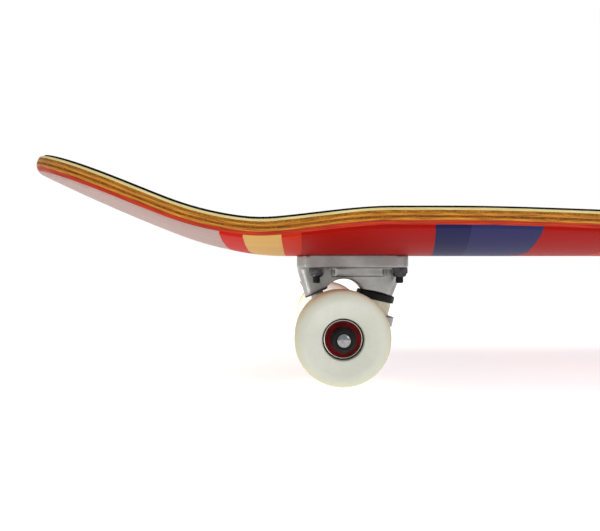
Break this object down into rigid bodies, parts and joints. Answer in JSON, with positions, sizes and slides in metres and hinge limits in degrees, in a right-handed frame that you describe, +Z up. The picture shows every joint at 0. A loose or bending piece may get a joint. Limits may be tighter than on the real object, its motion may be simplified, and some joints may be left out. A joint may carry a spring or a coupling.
{
  "type": "skateboard",
  "caption": "Street skateboard: seven-ply kicked and concave deck with grip tape, two kingpin steering trucks with bushings, and urethane wheels on ball bearings.",
  "frame": {"origin": "on the floor, under the middle of the board's length and width, with the wheels standing on Z = 0", "axes": "+X from the nose to the tail, +Y to the right of a rider facing the nose, +Z up"},
  "size_m": [0.8124, 0.2032, 0.1331],
  "materials": {
    "grip": "black grit-coated tape",
    "ply_red": "red-stained maple veneer with a printed lacquered underside",
    "ply_maple": "clear-finished maple veneer",
    "ply_maple_dark": "cross-grain maple veneer, darker cut edge",
    "ply_pale": "pale maple veneer",
    "black_hardware": "black oxide steel",
    "steel_hardware": "zinc-plated steel",
    "black_nylon": "moulded nylon",
    "truck_metal": "tumbled cast aluminium, unpainted",
    "black_urethane": "moulded urethane",
    "black_washer": "black cupped washer",
    "bushing": "cream urethane",
    "bearing_steel": "polished bearing steel",
    "wheel_urethane": "off-white cast urethane, satin",
    "red_seal": "dark red moulded seal",
    "cage_nylon": "moulded nylon"
  },
  "bodies": {
    "board": {"grip_tape": "grip", "deck_ply_1": "ply_red", "deck_ply_2": "ply_red", "deck_ply_3": "ply_maple", "deck_ply_4": "ply_maple_dark", "deck_ply_5": "ply_maple", "deck_ply_6": "ply_maple_dark", "deck_ply_7": "ply_pale", "mounting_bolts": "black_hardware", "mounting_nuts": "steel_hardware", "mounting_nut_inserts": "black_nylon", "front_baseplate": "truck_metal", "front_pivot_cup": "black_urethane", "front_kingpin": "steel_hardware", "front_top_washer": "black_washer", "front_top_bushing": "bushing", "front_bottom_bushing": "bushing", "front_bottom_washer": "steel_hardware", "front_kingpin_nut": "steel_hardware", "rear_baseplate": "truck_metal", "rear_pivot_cup": "black_urethane", "rear_kingpin": "steel_hardware", "rear_top_washer": "black_washer", "rear_top_bushing": "bushing", "rear_bottom_bushing": "bushing", "rear_bottom_washer": "steel_hardware", "rear_kingpin_nut": "steel_hardware"},
    "front_hanger_set": {"front_hanger": "truck_metal", "front_axle": "steel_hardware", "front_axle_nuts": "black_hardware", "front_axle_washers": "steel_hardware", "front_bearing_inner_rings": "bearing_steel", "front_bearing_spacers": "steel_hardware"},
    "rear_hanger_set": {"rear_hanger": "truck_metal", "rear_axle": "steel_hardware", "rear_axle_nuts": "black_hardware", "rear_axle_washers": "steel_hardware", "rear_bearing_inner_rings": "bearing_steel", "rear_bearing_spacers": "steel_hardware"},
    "front_left_wheel_set": {"front_left_wheel": "wheel_urethane", "front_left_bearing_outer_rings": "bearing_steel", "front_left_bearing_seals": "red_seal"},
    "front_left_ball_cages": {"front_left_bearing_balls": "bearing_steel", "front_left_bearing_cages": "cage_nylon"},
    "front_right_wheel_set": {"front_right_wheel": "wheel_urethane", "front_right_bearing_outer_rings": "bearing_steel", "front_right_bearing_seals": "red_seal"},
    "front_right_ball_cages": {"front_right_bearing_balls": "bearing_steel", "front_right_bearing_cages": "cage_nylon"},
    "rear_left_wheel_set": {"rear_left_wheel": "wheel_urethane", "rear_left_bearing_outer_rings": "bearing_steel", "rear_left_bearing_seals": "red_seal"},
    "rear_left_ball_cages": {"rear_left_bearing_balls": "bearing_steel", "rear_left_bearing_cages": "cage_nylon"},
    "rear_right_wheel_set": {"rear_right_wheel": "wheel_urethane", "rear_right_bearing_outer_rings": "bearing_steel", "rear_right_bearing_seals": "red_seal"},
    "rear_right_ball_cages": {"rear_right_bearing_balls": "bearing_steel", "rear_right_bearing_cages": "cage_nylon"}
  },
  "joints": [
    {"name": "front_steer", "type": "hinge", "parent": "board", "child": "front_hanger_set", "pos_m": [-0.2305, 0, 0.04953], "axis": [0.8914, 0, -0.4532], "range_deg": [-15, 15], "stiffness_Nm_per_rad": 25, "deforming": ["front_top_bushing", "front_bottom_bushing"]},
    {"name": "front_left_wheel_spin", "type": "hinge", "parent": "front_hanger_set", "child": "front_left_wheel_set", "pos_m": [-0.21769, -0.081, 0.026], "axis": [0, 1, 0], "continuous": true},
    {"name": "front_left_ball_orbit", "type": "hinge", "parent": "front_hanger_set", "child": "front_left_ball_cages", "pos_m": [-0.21769, -0.081, 0.026], "axis": [0, 1, 0], "continuous": true},
    {"name": "front_right_wheel_spin", "type": "hinge", "parent": "front_hanger_set", "child": "front_right_wheel_set", "pos_m": [-0.21769, 0.081, 0.026], "axis": [0, 1, 0], "continuous": true},
    {"name": "front_right_ball_orbit", "type": "hinge", "parent": "front_hanger_set", "child": "front_right_ball_cages", "pos_m": [-0.21769, 0.081, 0.026], "axis": [0, 1, 0], "continuous": true},
    {"name": "rear_steer", "type": "hinge", "parent": "board", "child": "rear_hanger_set", "pos_m": [0.2405, 0, 0.04953], "axis": [-0.8914, 0, -0.4532], "range_deg": [-15, 15], "stiffness_Nm_per_rad": 25, "deforming": ["rear_top_bushing", "rear_bottom_bushing"]},
    {"name": "rear_left_wheel_spin", "type": "hinge", "parent": "rear_hanger_set", "child": "rear_left_wheel_set", "pos_m": [0.22769, -0.081, 0.026], "axis": [0, 1, 0], "continuous": true},
    {"name": "rear_left_ball_orbit", "type": "hinge", "parent": "rear_hanger_set", "child": "rear_left_ball_cages", "pos_m": [0.22769, -0.081, 0.026], "axis": [0, 1, 0], "continuous": true},
    {"name": "rear_right_wheel_spin", "type": "hinge", "parent": "rear_hanger_set", "child": "rear_right_wheel_set", "pos_m": [0.22769, 0.081, 0.026], "axis": [0, 1, 0], "continuous": true},
    {"name": "rear_right_ball_orbit", "type": "hinge", "parent": "rear_hanger_set", "child": "rear_right_ball_cages", "pos_m": [0.22769, 0.081, 0.026], "axis": [0, 1, 0], "continuous": true}
  ],
  "couplings": [
    {"joint": "front_left_ball_orbit", "follows": "front_left_wheel_spin", "ratio": 0.6323},
    {"joint": "front_right_ball_orbit", "follows": "front_right_wheel_spin", "ratio": 0.6323},
    {"joint": "rear_left_ball_orbit", "follows": "rear_left_wheel_spin", "ratio": 0.6323},
    {"joint": "rear_right_ball_orbit", "follows": "rear_right_wheel_spin", "ratio": 0.6323}
  ]
}
